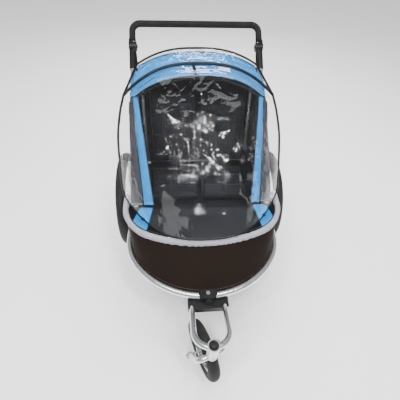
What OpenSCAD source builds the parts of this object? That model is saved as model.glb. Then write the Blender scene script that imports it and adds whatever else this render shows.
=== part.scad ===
// Two-seat child bicycle trailer in stroller form: push handle, swivelling front wheel, clear rain cover.
// Millimetres. +Z is up, the trailer faces -Y, and the floor is z = 0.

/* [Side wheels] */
// Outer diameter of a side wheel with its tyre
wheel_d = 500; // [490:2:510]
// Width of a side tyre
tyre_w = 48; // [44:1:50]
// Distance between the middles of the two side tyres
track = 772; // [768:2:800]
// Number of spokes in a side wheel
spokes = 20; // [16:2:28]

/* [Front wheel] */
// Outer diameter of the front wheel with its tyre
front_wheel_d = 254; // [240:2:258]
// Width of the front tyre
front_tyre_w = 50; // [44:1:52]
// Distance of the front axle behind the steering axis
trail = 65; // [55:1:70]
// Angle the front wheel is turned to in the stored pose
steer = 20; // [0:1:45]

/* [Chassis] */
// Distance of the rest frame's origin ahead of the side wheels' axle
axle_y = 211.3; // [150:0.1:260]
// Half the width of the chassis oval, at the middle of its tube
bow_a = 338; // [334:1:339]
// Length of the curved front of the chassis oval
bow_b = 292; // [285:1:300]
// Height of the chassis tubes
rail_z = 312; // [306:1:320]
// Diameter of the chassis tube
rail_d = 30; // [26:1:30]
// Wall thickness of the tubes
wall = 2; // [1.5:0.5:3]
// Rearmost tube of the chassis, behind the axle
rear_y = 215; // [205:1:225]

/* [Upper frame] */
// Diameter of the post tubes
post_d = 25; // [20:1:25]
// Half the distance between the two front posts
post_x = 306; // [304:1:308]
// Half the distance between the two rear posts
rear_post_x = 277; // [270:1:278]

/* [Handle] */
// Height of the push handle's pivots
handle_z = 916; // [900:1:930]
// Distance of the push handle's pivots behind the axle
handle_y = 363; // [355:1:370]
// Length of the push handle from its pivots to its grip
handle_len = 113; // [105:1:140]
// Diameter of the foam grip
grip_d = 30; // [26:1:32]

/* [Cabin] */
// Half the width of the grey edge band
band_a = 345; // [342:1:348]
// Length of the curved front of the grey edge band
band_b = 213; // [205:1:220]
// Height of the grey edge band
band_z = 455; // [450:1:460]
// Height of the hood's front edge at its middle
hood_z = 900; // [895:1:905]

/* [Hidden] */
$fn = 64;
small_fn = 32;
fit = 0.05;
wheel_r = wheel_d/2;
wheel_x = track/2;
wheel_z = wheel_r;
rail_r = rail_d/2;
post_r = post_d/2;
bow_y = -326;
bow_r2 = 240;
band_y = -247;
band_r2 = 178;
hinge_z = rail_z + 33;
front_hinge_y = -330;
rear_hinge_y = 190;
post_dy = handle_y - front_hinge_y;
post_dz = handle_z - hinge_z;
post_len = sqrt(post_dy*post_dy + post_dz*post_dz);
post_tilt = atan2(post_dz, post_dy);
sleeve_len = 112;
knuckle_gap = 24;
hoop_tilt = 77;
hoop_len = 536;
hoop_bend = 118;
hoop_r = 10;
axle_r = 6;
pin_r = 4;
head_y = -828;
head_low = 284;
head_top = 372;
head_r = 22;
steerer_r = 10;
arm_x = 67;
arm_r = 11.5;
arm_z = 280;
arm_start_y = -640;
front_r = front_wheel_d/2;
fork_x = 58;
fork_r = 11;
crown_z = 266;
front_axle_r = 5;
clamp_y = bow_y - bow_b;
brake_y = 150;
brake_z = 278;
brake_tilt = 12;
shoe_tilt = -137.8;
drum_r = 42;
tow_x = 296;
tow_z = 270;
tow_y = -392;

// ---------- helpers ----------

// Puts its children in the row frame, from sizes measured from the side wheels' axle.
module at_axle() { translate([0, axle_y, 0]) children(); }

// Makes a pair of mirrored pieces, one on each side.
module both_sides() { for (s = [0, 1]) mirror([s, 0, 0]) children(); }

// A round bar along X between two stations.
module x_bar(r, x0, x1, y, z) {
    translate([min(x0, x1), y, z]) rotate([0, 90, 0]) cylinder(r=r, h=abs(x1 - x0));
}

// A round tube along X between two stations, open at its ends.
module x_tube(r, x0, x1, y, z) difference() {
    x_bar(r, x0, x1, y, z);
    x_bar(r - wall, x0 - 1, x1 + 1, y, z);
}

// A round bar between two points.
module bar(r, p, q) {
    d = q - p;
    h = norm(d);
    translate(p) rotate([0, acos(d.z/h), atan2(d.y, d.x)]) cylinder(r=r, h=h);
}

// Oval front of the chassis: a wide arc ahead and a tighter arc on each side, all tangent.
function oval_c(a, r2) = a - r2;
function oval_r(a, b, r2) = (pow(a - r2, 2) + b*b - r2*r2)/(2*(b - r2));
function oval_phi(a, b, r2) = atan2(oval_r(a, b, r2) - b, oval_c(a, r2));

// Point of the oval where its outward direction is th degrees round from +X towards -Y.
function oval_pt(a, b, r2, th) = th > 90
    ? let (p = oval_pt(a, b, r2, 180 - th)) [-p.x, p.y]
    : th < oval_phi(a, b, r2)
        ? [oval_c(a, r2) + r2*cos(th), -r2*sin(th)]
        : let (r = oval_r(a, b, r2)) [r*cos(th), r - b - r*sin(th)];

// Round bar of radius r along the oval's wide front arc.
module oval_front(r, a, b, r2) {
    big = oval_r(a, b, r2);
    phi = oval_phi(a, b, r2);
    translate([0, big - b, 0]) rotate([0, 0, -180 + phi])
        rotate_extrude(angle=180 - 2*phi, $fn=96) translate([big, 0]) circle(r=r);
}

// Round bar of radius r along the oval's right-hand side arc.
module oval_side(r, a, b, r2) {
    phi = oval_phi(a, b, r2);
    translate([oval_c(a, r2), 0, 0]) rotate([0, 0, -phi])
        rotate_extrude(angle=phi, $fn=96) translate([r2, 0]) circle(r=r);
}

// Round bar of radius r along the whole oval.
module oval_tube(r, a, b, r2) {
    oval_front(r, a, b, r2);
    both_sides() oval_side(r, a, b, r2);
}

// Closed sheet between an outer and an inner grid of points of the same size.
module sheet(outer, inner) {
    m = len(outer);
    n = len(outer[0]);
    pts = concat([for (row = outer) each row], [for (row = inner) each row]);
    o = m*n;
    function quad(a, b, c, d) = [[a, b, c], [a, c, d]];
    faces = concat(
        [for (i = [0:m-2], j = [0:n-2]) each quad(i*n+j, i*n+j+1, (i+1)*n+j+1, (i+1)*n+j)],
        [for (i = [0:m-2], j = [0:n-2]) each quad(o+i*n+j, o+(i+1)*n+j, o+(i+1)*n+j+1, o+i*n+j+1)],
        [for (i = [0:m-2]) each quad(i*n, (i+1)*n, o+(i+1)*n, o+i*n)],
        [for (i = [0:m-2]) each quad(i*n+n-1, o+i*n+n-1, o+(i+1)*n+n-1, (i+1)*n+n-1)],
        [for (j = [0:n-2]) each quad(j, o+j, o+j+1, j+1)],
        [for (j = [0:n-2]) each quad((m-1)*n+j, (m-1)*n+j+1, o+(m-1)*n+j+1, o+(m-1)*n+j)]);
    polyhedron(points=pts, faces=faces);
}

// Points across the trailer: the middle at [mid_y, mid_z], the ends at x = +-w and [end_y, end_z].
function cross_row(w, mid_y, mid_z, end_y, end_z, p, n) = [
    for (i = [0:n]) let (u = 2*i/n - 1, x = w*sin(90*u), k = pow(abs(x)/w, p))
        [x, mid_y + (end_y - mid_y)*k, mid_z + (end_z - mid_z)*k]
];

// Box with rounded upright edges.
module soft_box(size, r) {
    linear_extrude(size.z) offset(r=r, $fn=small_fn) square([size.x - 2*r, size.y - 2*r], center=true);
}

// ---------- chassis ----------

module bumper_bow() color("silver") at_axle() translate([0, bow_y, rail_z]) difference() {
    oval_front(rail_r, bow_a, bow_b, bow_r2);
    oval_front(rail_r - wall, bow_a, bow_b, bow_r2);
}

// A bend from the bumper bow and a straight run to the rear, bored from its open end.
module side_rails() color("silver") at_axle() both_sides() translate([0, bow_y, rail_z]) {
    rail_len = rear_y - bow_y + 15 - fit;
    oval_side(rail_r, bow_a, bow_b, bow_r2);
    translate([bow_a, fit, 0]) rotate([-90, 0, 0]) difference() {
        cylinder(r=rail_r, h=rail_len);
        translate([0, 0, -1]) cylinder(r=rail_r - wall, h=rail_len + 2);
    }
}

module cross_tubes() color("silver") at_axle() {
    reach = bow_a - rail_r;
    x_tube(12.5, -reach, reach, rear_y, rail_z);
    x_tube(12.5, -reach, reach, front_hinge_y, rail_z);
    x_tube(10, -reach, reach, 60, rail_z);
}

module axle_beam() color("dimgray") at_axle() x_tube(14, -316, 316, 0, wheel_z);

module axle_brackets() color("dimgray") at_axle() both_sides() difference() {
    translate([316, -24, wheel_z - 20]) cube([28, 48, 92]);
    translate([bow_a, -30, rail_z]) rotate([-90, 0, 0]) cylinder(r=rail_r, h=60);
    x_bar(axle_r, 322, 350, 0, wheel_z);
}

module side_axles() color("gray") at_axle() both_sides() difference() {
    union() {
        x_bar(axle_r, 322, wheel_x + 36, 0, wheel_z);
        x_bar(11, wheel_x + 32, wheel_x + 36, 0, wheel_z);
    }
    x_bar(4 + fit, wheel_x + 20, wheel_x + 40, 0, wheel_z);
}

ear_r = 8.7;

// One pair of upright ears with a cross pin bore, standing on a tube.
module hinge_ears(x, y, inner, outer, base_drop) {
    for (e = [[x - outer, x - inner], [x + inner, x + outer]]) difference() {
        union() {
            x_bar(ear_r, e[0], e[1], y, hinge_z);
            translate([e[0], y - ear_r, hinge_z - base_drop]) cube([e[1] - e[0], 2*ear_r, base_drop - 2]);
        }
        x_bar(pin_r, e[0] - 1, e[1] + 1, y, hinge_z);
    }
}

module hinge_brackets() color("dimgray") at_axle() both_sides() {
    difference() {
        union() {
            hinge_ears(post_x, front_hinge_y, 12.5, 15.5, 22);
            hinge_ears(rear_post_x - 4, rear_hinge_y, 10.5, 13.5, 22);
            translate([post_x - 15.5, front_hinge_y - 12, rail_z + 9]) cube([29, 24, 6]);
            translate([rear_post_x - 17.5, rear_hinge_y - 12, rail_z + 9]) cube([27, 42, 6]);
        }
        x_bar(12.5, -400, 400, front_hinge_y, rail_z);
        x_bar(12.5, -400, 400, rear_y, rail_z);
        translate([bow_a, -400, rail_z]) rotate([-90, 0, 0]) cylinder(r=rail_r, h=700);
        translate([0, bow_y, rail_z]) oval_tube(rail_r, bow_a, bow_b, bow_r2);
    }
}

module hinge_pins() color("lightgray") at_axle() both_sides() {
    x_bar(pin_r, post_x - 15.5, post_x + 15.5, front_hinge_y, hinge_z);
    x_bar(pin_r, rear_post_x - 17.5, rear_post_x + 9.5, rear_hinge_y, hinge_z);
}

module tow_socket() color("dimgray") at_axle() difference() {
    union() {
        translate([tow_x, tow_y - 40, tow_z]) rotate([-90, 0, 0]) cylinder(r=17, h=80);
        translate([tow_x - 8, front_hinge_y - 30, tow_z]) cube([16, 40, rail_z - tow_z]);
    }
    translate([tow_x, tow_y - 41, tow_z]) rotate([-90, 0, 0]) cylinder(r=12.6, h=71);
    x_bar(12.5, -400, 400, front_hinge_y, rail_z);
    translate([tow_x, tow_y, tow_z - 30]) cylinder(r=3.2, h=60);
    translate([0, bow_y, rail_z]) oval_tube(rail_r + 1, bow_a, bow_b, bow_r2);
}

module tow_lock_pin() color("lightgray") at_axle() {
    translate([tow_x, tow_y, tow_z - 26]) cylinder(r=3.15, h=9.5);
    translate([tow_x, tow_y, tow_z - 30]) cylinder(r=8, h=4);
}

// ---------- cabin floor, front panel, edge band ----------

tray_z = 284;
tray_in = rail_r + 8;

module tray_outline(inset) {
    a = bow_a - inset;
    b = bow_b - inset;
    r2 = bow_r2 - inset;
    polygon(concat(
        [[-a, brake_y - bow_y - 25], [a, brake_y - bow_y - 25]],
        [for (th = [0:10:180]) oval_pt(a, b, r2, th)]));
}

module floor_tray() color([0.12, 0.12, 0.13]) at_axle() difference() {
    translate([0, bow_y, tray_z]) linear_extrude(3) tray_outline(tray_in);
    translate([tow_x - 19, tow_y - 44, tray_z - 1]) cube([60, 118, 5]);
}

// Rows of the front panel, from the top of the chassis tube up to the edge band.
function apron_row(k, inset, n) = let (
        tuck = 13*(1 - k) + inset,
        a = bow_a + (band_a - bow_a)*k - tuck,
        b = bow_b + (band_b - bow_b)*k - tuck,
        r2 = bow_r2 + (band_r2 - bow_r2)*k - tuck,
        y0 = bow_y + (band_y - bow_y)*k,
        z = rail_z + rail_r + 1 + (band_z - 9 - rail_z - rail_r - 1)*k + 10*sin(180*k))
    concat([[a, y0 + 60, z]], [for (i = [0:n]) let (q = oval_pt(a, b, r2, 180*i/n)) [q.x, y0 + q.y, z]],
        [[-a, y0 + 60, z]]);

module front_apron() color([0.20, 0.16, 0.14]) at_axle() difference() {
    sheet([for (k = [0:0.25:1]) apron_row(k, 0, 24)], [for (k = [0:0.25:1]) apron_row(k, 3, 24)]);
    translate([-42, clamp_y - 27, clamp_top - 6]) cube([84, 55, 13]);
}

band_rise = 9;

// Points of the band's outline: the oval, and a short climbing tail behind each side.
function band_row(inset, z) = [
    for (th = [-15:7:196]) let (
            q = oval_pt(band_a - inset, band_b - inset, band_r2 - inset, max(0, min(180, th))),
            back = 4*max(0, -th, th - 180))
        [q.x, band_y + q.y + back, z + back*0.12]];

module edge_band() color([0.68, 0.68, 0.72]) at_axle()
    sheet([band_row(-2, band_z - band_rise + 1), band_row(-5, band_z), band_row(-2, band_z + band_rise)],
        [band_row(4, band_z - band_rise + 1), band_row(6, band_z), band_row(4, band_z + band_rise)]);

// ---------- seat ----------

module seat_cushion() color([0.10, 0.11, 0.13]) at_axle()
    translate([0, -20, 350]) soft_box([500, 250, 50], 30);

module seat_back() color([0.10, 0.11, 0.13]) at_axle()
    translate([0, 118, 404]) rotate([-13, 0, 0]) soft_box([500, 40, 390], 15);

module harness_straps() color("black") at_axle() {
    for (x = [-125, 125]) {
        for (s = [-48, 48]) translate([x + s - 12, 90, 430]) rotate([-13, 0, 0]) cube([24, 2.5, 290]);
        translate([x - 12, -100, 402]) cube([24, 110, 2.5]);
    }
}

module harness_buckles() color("black") at_axle() for (x = [-125, 125])
    translate([x, 68, 520]) rotate([77, 0, 0]) soft_box([52, 40, 12], 8);

// ---------- side wheels (the right one is built, the left one mirrored) ----------

rim_r = wheel_r - 44;

module tyre() rotate([0, 90, 0]) rotate_extrude($fn=128) difference() {
    translate([wheel_r - tyre_w/2, 0]) circle(d=tyre_w);
    translate([0, -tyre_w]) square([rim_r, 2*tyre_w]);
}

module rim() rotate([0, 90, 0]) rotate_extrude($fn=128) difference() {
    translate([rim_r - 16, -13]) square([16, 26]);
    translate([rim_r - 12, -9]) square([8, 18]);
}

module wheel_spokes() for (i = [0:spokes-1]) rotate([360*i/spokes, 0, 0]) {
    side = i % 2 == 0 ? 20 : -20;
    bar(1.1, [side, 0, 18], [side*0.15, 0, rim_r - 15.9]);
}

module hub() rotate([0, 90, 0]) difference() {
    union() {
        translate([0, 0, -28]) cylinder(r=15, h=58);
        for (z = [-22, 18]) translate([0, 0, z]) cylinder(r=24, h=4);
        translate([0, 0, -38]) difference() {
            cylinder(r=drum_r, h=12);
            translate([0, 0, -1]) cylinder(r=drum_r - 4, h=9);
        }
    }
    translate([0, 0, -60]) cylinder(r=8, h=120);
    for (z = [-30, 20]) translate([0, 0, z]) cylinder(r=12, h=10.01);
}

module hub_bearings() rotate([0, 90, 0]) for (z = [-30, 20]) translate([0, 0, z]) difference() {
    cylinder(r=12, h=10);
    translate([0, 0, -1]) cylinder(r=axle_r + fit, h=12);
}

module right_place() { at_axle() translate([wheel_x, 0, wheel_z]) children(); }
module left_place() { mirror([1, 0, 0]) right_place() children(); }

module left_tyre() color([0.1, 0.1, 0.1]) left_place() tyre();
module left_rim() color("silver") left_place() rim();
module left_spokes() color("gray") left_place() wheel_spokes();
module left_hub() color([0.2, 0.2, 0.2]) left_place() hub();
module left_bearings() color("lightgray") left_place() hub_bearings();
module right_tyre() color([0.1, 0.1, 0.1]) right_place() tyre();
module right_rim() color("silver") right_place() rim();
module right_spokes() color("gray") right_place() wheel_spokes();
module right_hub() color([0.2, 0.2, 0.2]) right_place() hub();
module right_bearings() color("lightgray") right_place() hub_bearings();

module release_button() x_bar(4, 25, 38.8, 0, 0);
module left_release_button() color("black") left_place() release_button();
module right_release_button() color("black") right_place() release_button();

// ---------- front wheel kit ----------

clamp_top = rail_z + rail_r + 5;
clamp_low = arm_z + 16;
clamp_screw_y = clamp_y - 18.7;

module bumper_clamp() color([0.08, 0.08, 0.08]) at_axle() difference() {
    union() {
        hull() for (x = [-16, 16]) translate([x, clamp_y, clamp_low])
            cylinder(r=22, h=clamp_top - clamp_low, $fn=small_fn);
        translate([0, clamp_y - 8, rail_z + 2]) rotate([90, 0, 0]) cylinder(r=15, h=24);
    }
    translate([0, bow_y, rail_z]) oval_tube(rail_r, bow_a, bow_b, bow_r2);
    translate([0, clamp_y, rail_z]) cylinder(r=pin_r, h=40);
    for (x = [-14, 14]) translate([x, clamp_screw_y, clamp_low - 1]) cylinder(r=2.5, h=15);
}

module clamp_bolt() color("lightgray") at_axle() {
    translate([0, clamp_y, rail_z + rail_r + 0.1]) cylinder(r=pin_r, h=4.9);
    translate([0, clamp_y, clamp_top]) cylinder(r=8, h=5);
    for (x = [-14, 14]) translate([x, clamp_screw_y, arm_z - 22]) {
        cylinder(r=2.5, h=clamp_low + 14 - arm_z + 22);
        cylinder(r=5, h=5);
    }
}

module arm_block() color([0.08, 0.08, 0.08]) at_axle() difference() {
    translate([0, arm_start_y + 8, arm_z - 17]) soft_box([166, 68, 33], 10);
    arm_tubes(arm_r);
    for (x = [-14, 14]) translate([x, clamp_screw_y, arm_z - 30]) cylinder(r=2.5, h=60);
}

arm_rise = atan2(352 - arm_z, arm_start_y - head_y);
arm_run = norm([352 - arm_z, arm_start_y - head_y]);

// The U of the front arm: two straight legs and a half round, in one sloping plane.
module arm_tubes(r) translate([0, arm_start_y, arm_z]) rotate([-arm_rise, 0, 0]) {
    both_sides() translate([arm_x, 0, 0]) rotate([90, 0, 0]) cylinder(r=r, h=arm_run - arm_x);
    translate([0, -(arm_run - arm_x), 0]) rotate([0, 0, 180])
        rotate_extrude(angle=180) translate([arm_x, 0]) circle(r=r);
}

module front_arm() color("silver") at_axle() difference() {
    union() {
        arm_tubes(arm_r);
        translate([0, head_y, head_low]) cylinder(r=head_r, h=head_top - head_low);
    }
    translate([0, head_y, head_low - 1]) cylinder(r=18, h=head_top - head_low + 2);
}

module headset_bushes() color("gray") at_axle() for (z = [head_low, head_top - 14])
    translate([0, head_y, z]) difference() {
        cylinder(r=18, h=14);
        translate([0, 0, -1]) cylinder(r=steerer_r + fit, h=16);
    }

// Puts its children in the castor's frame: the origin on the steering axis, the wheel behind along +Y.
module at_castor() { at_axle() translate([0, head_y, 0]) rotate([0, 0, steer]) children(); }

fork_drop = atan2(crown_z - front_r, trail);
fork_len = norm([crown_z - front_r, trail]);
fork_bend = 32;

module castor_fork() color("silver") at_castor() difference() {
    union() {
        translate([0, 0, crown_z - 12]) cylinder(r=20, h=head_low - crown_z + 11.4);
        translate([0, 0, crown_z]) rotate([180 - fork_drop, 0, 0]) {
            x_bar(fork_r, -(fork_x - fork_bend), fork_x - fork_bend, 0, 0);
            both_sides() translate([fork_x - fork_bend, -fork_bend, 0])
                rotate_extrude(angle=90) translate([fork_bend, 0]) circle(r=fork_r);
            both_sides() translate([fork_x, -fork_len, 0]) rotate([-90, 0, 0])
                cylinder(r=fork_r, h=fork_len - fork_bend);
        }
        both_sides() x_bar(14, fork_x - 8, fork_x + fork_r + fit, trail, front_r);
    }
    x_bar(front_axle_r, -100, 100, trail, front_r);
    translate([0, 0, crown_z - 4]) cylinder(r=steerer_r, h=60);
}

module castor_steerer() color("gray") at_castor() translate([0, 0, crown_z - 4])
    cylinder(r=steerer_r, h=head_top + 5.5 - crown_z);

module steerer_cap() color([0.05, 0.05, 0.05]) at_castor() translate([0, 0, head_top + 1.5])
    rotate_extrude() polygon([[0, 0], [14, 0], [14, 3], [10, 7], [0, 8]]);

module front_axle() color("lightgray") at_castor() {
    nut_x = fork_x + fork_r + 0.2;
    x_bar(front_axle_r, -nut_x, nut_x, trail, front_r);
    both_sides() x_bar(9, nut_x, nut_x + 7, trail, front_r);
}

front_rim_r = front_r - 44;

module front_tyre() color([0.1, 0.1, 0.1]) at_castor() translate([0, trail, front_r]) rotate([0, 90, 0])
    rotate_extrude($fn=96) difference() {
        translate([front_r - front_tyre_w/2, 0]) circle(d=front_tyre_w);
        translate([0, -front_tyre_w]) square([front_rim_r, 2*front_tyre_w]);
    }

module front_rim() color([0.15, 0.15, 0.15]) at_castor() translate([0, trail, front_r]) rotate([0, 90, 0])
    difference() {
        union() {
            rotate_extrude($fn=96) difference() {
                translate([front_rim_r - 14, -17]) square([14, 34]);
                translate([front_rim_r - 9, -12]) square([10, 24]);
            }
            for (a = [0:72:359]) rotate([0, 0, a]) translate([0, -7, -6]) cube([front_rim_r - 12, 14, 12]);
            translate([0, 0, -27]) cylinder(r=17, h=54);
        }
        translate([0, 0, -40]) cylinder(r=7, h=80);
        for (z = [-27, 19]) translate([0, 0, z - 0.01]) cylinder(r=11, h=8.02);
    }

module front_bearings() color("lightgray") at_castor() translate([0, trail, front_r]) rotate([0, 90, 0])
    for (z = [-27, 19]) translate([0, 0, z]) difference() {
        cylinder(r=11, h=8);
        translate([0, 0, -1]) cylinder(r=front_axle_r + fit, h=10);
    }

// ---------- upper frame and handle ----------

// Puts its children in the front posts' frame: the origin on the hinge, the post along +Y.
module at_post() { at_axle() translate([0, front_hinge_y, hinge_z]) rotate([post_tilt, 0, 0]) children(); }

module front_posts() color("silver") at_post() both_sides() translate([post_x, 0, 0]) difference() {
    union() {
        translate([0, 9, 0]) rotate([-90, 0, 0]) cylinder(r=post_r, h=post_len - knuckle_gap - 10);
        x_bar(11, -12, 12, 0, 0);
        translate([-10, 0, -8]) cube([20, 20, 16]);
    }
    x_bar(pin_r + fit, -20, 20, 0, 0);
    translate([0, 24, 0]) rotate([-90, 0, 0]) cylinder(r=post_r - wall, h=post_len);
}

// Lower half of a handle joint: a sleeve over the post, a neck and an inner disc.
module sleeve() difference() {
    union() {
        translate([0, post_len - sleeve_len, 0]) rotate([-90, 0, 0]) cylinder(r=16, h=sleeve_len - knuckle_gap);
        x_bar(20, -20, -0.2, post_len, 0);
        translate([-16, post_len - knuckle_gap - 6, -12]) cube([15.8, knuckle_gap, 24]);
    }
    translate([0, 9, 0]) rotate([-90, 0, 0]) cylinder(r=post_r, h=post_len - knuckle_gap - 10);
    x_bar(5, -11, 1, post_len, 0);
    x_bar(8 + fit, -21, -12, post_len, 0);
}

module handle_sleeves() color([0.07, 0.07, 0.07]) at_post() both_sides() translate([post_x, 0, 0]) sleeve();

module handle_pins() color("lightgray") at_post() both_sides() translate([post_x, 0, 0])
    x_bar(5, -11, 15, post_len, 0);

module angle_button() x_bar(8, -24, -15.5, 0, 0);

module left_angle_button() color([0.1, 0.1, 0.1]) at_post() translate([-post_x, post_len, 0])
    mirror([1, 0, 0]) angle_button();

module right_angle_button() color([0.1, 0.1, 0.1]) at_post() translate([post_x, post_len, 0]) angle_button();

// Upper half of a handle joint: an outer disc, a neck and a stub over the handle tube.
module handle_knuckles() color([0.07, 0.07, 0.07]) at_post() both_sides() translate([post_x, post_len, 0])
    difference() {
        union() {
            x_bar(20, 0.2, 16, 0, 0);
            translate([0.2, 0, -12]) cube([15.8, knuckle_gap + 6, 24]);
            translate([0, knuckle_gap, 0]) rotate([-90, 0, 0]) cylinder(r=16, h=16);
        }
        x_bar(5 + fit, -1, 20, 0, 0);
        translate([0, knuckle_gap, 0]) rotate([-90, 0, 0]) cylinder(r=9, h=40);
    }

handle_bend = 38;

// A U of the handle's outline: two legs, two round corners and a crossbar.
module handle_u(r, from) translate([0, post_len, 0]) {
    both_sides() translate([post_x, from, 0]) rotate([-90, 0, 0])
        cylinder(r=r, h=handle_len - handle_bend - from);
    both_sides() translate([post_x - handle_bend, handle_len - handle_bend, 0])
        rotate_extrude(angle=90) translate([handle_bend, 0]) circle(r=r);
    x_bar(r, -(post_x - handle_bend), post_x - handle_bend, handle_len, 0);
}

module handle_tube() color("silver") at_post() handle_u(9, knuckle_gap);

module foam_grip() color([0.06, 0.06, 0.06]) at_post() difference() {
    handle_u(grip_d/2, knuckle_gap + 16);
    handle_u(9, knuckle_gap);
}

// The rear hoop: two posts, two round corners and a crossbar, leaning back.
module rear_hoop() color("silver") at_axle() translate([0, rear_hinge_y, hinge_z]) rotate([hoop_tilt, 0, 0])
    difference() {
        union() {
            both_sides() translate([rear_post_x, 9, 0]) rotate([-90, 0, 0])
                cylinder(r=hoop_r, h=hoop_len - hoop_bend - 9);
            both_sides() translate([rear_post_x - hoop_bend, hoop_len - hoop_bend, 0])
                rotate_extrude(angle=90) translate([hoop_bend, 0]) circle(r=hoop_r);
            x_bar(hoop_r, -(rear_post_x - hoop_bend), rear_post_x - hoop_bend, hoop_len, 0);
            both_sides() x_bar(10.5, rear_post_x - 14, rear_post_x + 6, 0, 0);
        }
        both_sides() x_bar(pin_r + fit, rear_post_x - 40, rear_post_x + 40, 0, 0);
    }

// ---------- parking brake ----------

module brake_hangers() color("dimgray") at_axle() both_sides() difference() {
    hull() {
        x_bar(12, 196, 204, brake_y, brake_z);
        x_bar(15, 196, 204, rear_y, rail_z);
    }
    x_bar(7 + fit, 190, 210, brake_y, brake_z);
    x_bar(12.5, 190, 210, rear_y, rail_z);
}

// The foot lever, its cross shaft, and an arm with a shoe under each wheel's drum.
module brake_pedal() color([0.25, 0.25, 0.25]) at_axle() translate([0, brake_y, brake_z]) {
    x_bar(7, -356, 356, 0, 0);
    rotate([-brake_tilt - 6, 0, 0]) {
        translate([-9, 0, -4]) cube([18, 120, 8]);
        translate([-45, 112, -5]) cube([90, 34, 12]);
    }
    both_sides() rotate([shoe_tilt, 0, 0]) {
        translate([349, 0, -5]) cube([7, 150, 10]);
        translate([349, 125, -8.3]) cube([7, 25, 5]);
    }
}

// ---------- soft parts ----------

trim_low = [218, -262, 474];
trim_high = [278, 118, 788];
trim_w = 34;

// Inner and outer edges of the blue side strips, from the lower corner (t = 0) to the hood (t = 1).
function trim_in(t) = trim_low + (trim_high - trim_low)*t + [0, -6, 8]*sin(180*t);
function trim_out(t) = trim_in(t) + [46 - 18*t, 16, -16];

module hood_bow() color([0.15, 0.15, 0.15]) at_axle() {
    w = 276;
    rise = hood_z - 10 - 781;
    lean = atan2(37, 110);
    r = (w*w + rise*rise)/(2*rise);
    half = asin(w/r);
    translate([0, 92, hood_z - 12]) rotate([90 + lean, 0, 0]) translate([0, -r, 0]) rotate([0, 0, 90 - half])
        rotate_extrude(angle=2*half, $fn=96) translate([r, 0]) circle(r=5);
}

roof_n = 24;

function roof_row(k, drop) = let (
        w = 290 - 8*k,
        mid_y = 83 + 244*k, mid_z = hood_z + 6*k + 4*sin(180*k),
        end_y = 120 + 165*k, end_z = 790 + 64*k)
    cross_row(w - drop, mid_y, mid_z - drop, end_y, end_z - drop*0.6, 2.5, roof_n);

module canopy_roof() color([0.16, 0.55, 0.85]) at_axle()
    sheet([for (k = [0:0.2:1]) roof_row(k, 0)], [for (k = [0:0.2:1]) roof_row(k, 3)]);

// Side fabric: over the front post from the strip, then down to the chassis rail.
panel_x = 319.6;

function side_row(t, x) = let (e = trim_out(t), foot = [x, -246 + 436*t, rail_z + rail_r + 4])
    [foot, [x + 1, (e.y + 12 + foot.y)/2, (e.z - 12 + foot.z)/2],
     [x, e.y + 12, e.z - 12], [e.x + 1 + x - panel_x, e.y + 1, e.z - 1]];

module side_panels() color([0.13, 0.13, 0.15]) at_axle() both_sides() {
    sheet([for (t = [0:0.1:1.001]) side_row(t, panel_x + 2)], [for (t = [0:0.1:1.001]) side_row(t, panel_x)]);
    translate([panel_x, 0, 0]) rotate([90, 0, 90]) linear_extrude(2)
        polygon([[193, 331], [214, 331], [318, 780], [314, 854], [162, 729]]);
}

module opening_trim() color([0.16, 0.55, 0.85]) at_axle() both_sides()
    sheet([for (t = [0:0.1:1.001]) [trim_in(t), trim_out(t)]],
        [for (t = [0:0.1:1.001]) [trim_in(t) + [-1, 2, -2], trim_out(t) + [-1, 2, -2]]]);

function lower_row(k, drop) = cross_row(300 - 26*k, -430 + 128*k, 462 + 34*k - drop, -322 + 56*k,
    463 + 4*k - drop, 2.2, roof_n);

module lower_front_panel() color([0.08, 0.08, 0.09]) at_axle()
    sheet([for (k = [0:0.25:1]) lower_row(k, 0)], [for (k = [0:0.25:1]) lower_row(k, 2.5)]);

module rear_panel() color([0.10, 0.10, 0.12]) at_axle()
    translate([0, rear_hinge_y + 18, rail_z + 20]) rotate([-(90 - hoop_tilt), 0, 0])
        translate([-262, 0, 0]) cube([524, 3, 500]);

// Half width, centre and end of the rain cover's cross rows, from its lower hem (0) to its front seam (1).
function cover_row(t, drop) = let (
        w = lookup(t, [[0, 352], [0.15, 362], [0.5, 376], [0.8, 362], [1, 342]]),
        mid_y = lookup(t, [[0, -458], [0.35, -262], [0.8, 66], [0.9, 130], [1, 182]]),
        mid_z = lookup(t, [[0, 474], [0.35, 650], [0.8, 902], [0.9, 909], [1, 912]]),
        end_y = lookup(t, [[0, -200], [0.15, -160], [0.5, -10], [1, 118]]),
        end_z = lookup(t, [[0, 478], [0.15, 500], [0.5, 640], [1, 796]]),
        p = lookup(t, [[0, 2.6], [0.3, 3.2], [1, 2.6]]))
    cross_row(w - drop, mid_y, mid_z - drop, end_y, end_z - drop, p, roof_n + 4);

module rain_cover_front() color([0.8, 0.9, 1, 0.4]) at_axle()
    sheet([for (t = [0:0.1:1.001]) cover_row(t, 0)], [for (t = [0:0.1:1.001]) cover_row(t, 1.2)]);

function cover_top_row(k, drop) = cross_row(342 - 56*k - drop, 183.5 + 154*k, 912 + 8*k + 3*sin(180*k) - drop,
    119.5 + 160*k, 796 + 70*k - drop, 2.6, roof_n + 4);

module rain_cover_top() color([0.8, 0.9, 1, 0.4]) at_axle()
    sheet([for (k = [0:0.25:1]) cover_top_row(k, 0)], [for (k = [0:0.25:1]) cover_top_row(k, 1.2)]);

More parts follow.
